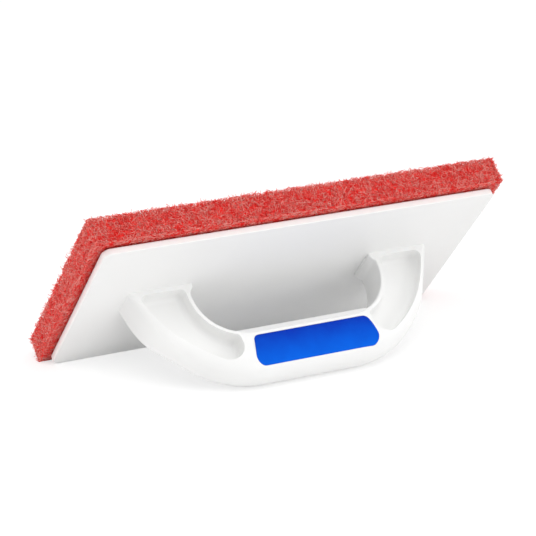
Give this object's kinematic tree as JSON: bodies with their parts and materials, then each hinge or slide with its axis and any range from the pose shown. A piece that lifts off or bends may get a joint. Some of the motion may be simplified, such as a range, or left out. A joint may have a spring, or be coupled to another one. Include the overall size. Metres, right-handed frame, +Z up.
{
  "type": "hand pad holder with scrubbing pad",
  "caption": "Hand scrubbing tool: a flat rectangular board with a D-shaped, soft-inlaid handle on one side and a thick coarse fibre scrubbing pad on the other.",
  "frame": {"origin": "centre of the bounding box's base, on the floor under the tool as it stands in its set-down pose", "axes": "+X along the board and grip, +Z up; the tool leans, handle towards -Y and pad towards +Y"},
  "size_m": [0.28, 0.1186, 0.1178],
  "materials": {
    "white_plastic": "satin",
    "soft_grip": "matte",
    "hook_sheet": "hooked nylon",
    "scrub_pad": "coarse fibre",
    "screw_steel": "zinc plated"
  },
  "bodies": {
    "root": {"backing_board": "white_plastic", "handle": "white_plastic", "soft_grip_front": "soft_grip", "soft_grip_back": "soft_grip", "hook_sheet": "hook_sheet", "scrub_pad": "scrub_pad", "handle_screws": "screw_steel"}
  },
  "joints": []
}
